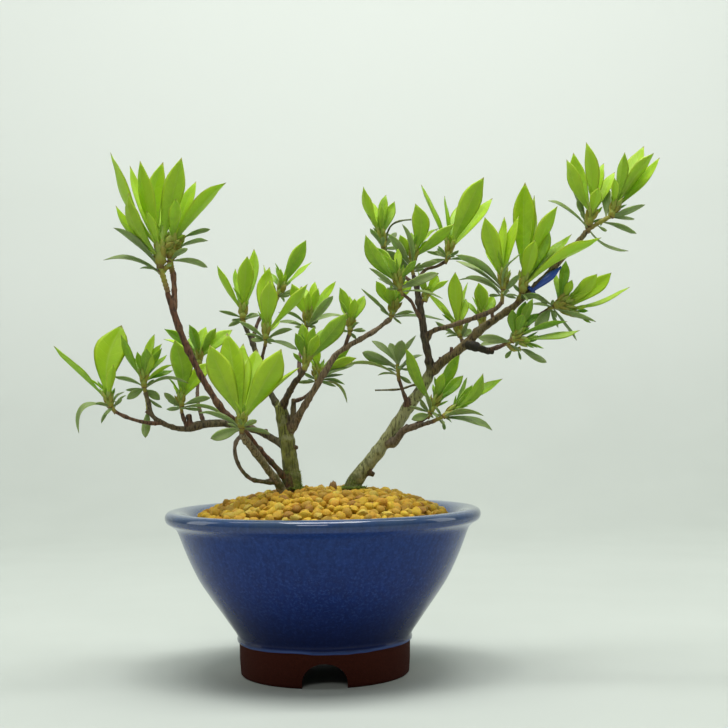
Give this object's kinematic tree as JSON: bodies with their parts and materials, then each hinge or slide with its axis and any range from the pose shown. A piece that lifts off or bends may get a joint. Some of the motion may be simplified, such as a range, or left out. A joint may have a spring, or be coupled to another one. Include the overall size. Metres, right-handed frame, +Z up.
{
  "type": "satsuki azalea bonsai in round pot",
  "caption": "Slender-trunked satsuki azalea bonsai with whorls of pointed leaves on rising branches, in a flared round glazed pot on a notched foot ring, its soil topped with golden granules.",
  "frame": {"origin": "middle of the object's bounding box in plan, on the surface that the pot's foot stands on; the pot's own axis is a little to the left, because the tree reaches further to the right", "axes": "+Z up along the pot's axis; +X to the right of someone who faces the bonsai's front; +Y away from that person"},
  "size_m": [0.241, 0.125, 0.2083],
  "materials": {
    "pot_glaze": "gloss",
    "netting": "matte",
    "soil": "matte",
    "granules": "matte",
    "bark": "matte",
    "new_leaf": "satin",
    "old_leaf": "satin",
    "tag_vinyl": "gloss"
  },
  "bodies": {
    "root": {"pot": "pot_glaze", "drainage_net": "netting", "potting_soil": "soil", "top_dressing": "granules", "trunk_and_branches": "bark", "branch_tag": "tag_vinyl", "behind_bough_new_leaves": "new_leaf", "behind_stem_new_leaves": "new_leaf", "bough_center_new_leaves": "new_leaf", "bough_center_old_leaves": "old_leaf", "bough_tip_a_new_leaves": "new_leaf", "bough_tip_a_old_leaves": "old_leaf", "bough_tip_b_new_leaves": "new_leaf", "bough_tip_b_old_leaves": "old_leaf", "center_front_new_leaves": "new_leaf", "center_new_leaves": "new_leaf", "center_old_leaves": "old_leaf", "center_right_new_leaves": "new_leaf", "center_right_old_leaves": "old_leaf", "center_top_new_leaves": "new_leaf", "center_top_old_leaves": "old_leaf", "crest_new_leaves": "new_leaf", "crest_old_leaves": "old_leaf", "crown_left_new_leaves": "new_leaf", "crown_left_old_leaves": "old_leaf", "crown_right_a_new_leaves": "new_leaf", "crown_right_b_new_leaves": "new_leaf", "crown_right_b_old_leaves": "old_leaf", "far_left_new_leaves": "new_leaf", "far_left_old_leaves": "old_leaf", "far_right_new_leaves": "new_leaf", "far_right_old_leaves": "old_leaf", "front_left_new_leaves": "new_leaf", "front_left_old_leaves": "old_leaf", "inner_right_old_leaves": "old_leaf", "left_tier_new_leaves": "new_leaf", "left_tier_old_leaves": "old_leaf", "low_center_new_leaves": "new_leaf", "low_center_old_leaves": "old_leaf", "low_left_new_leaves": "new_leaf", "low_left_old_leaves": "old_leaf", "lower_right_new_leaves": "new_leaf", "lower_right_old_leaves": "old_leaf", "mid_left_new_leaves": "new_leaf", "mid_left_old_leaves": "old_leaf", "right_of_center_new_leaves": "new_leaf", "right_of_center_old_leaves": "old_leaf", "right_side_a_new_leaves": "new_leaf", "right_side_a_old_leaves": "old_leaf", "right_side_b_new_leaves": "new_leaf", "right_side_b_old_leaves": "old_leaf", "top_new_leaves": "new_leaf", "top_old_leaves": "old_leaf", "upper_crest_new_leaves": "new_leaf", "upper_crest_old_leaves": "old_leaf", "upper_left_new_leaves": "new_leaf", "upper_left_old_leaves": "old_leaf", "upper_right_of_center_new_leaves": "new_leaf", "upper_right_of_center_old_leaves": "old_leaf", "upright_side_new_leaves": "new_leaf"}
  },
  "joints": []
}
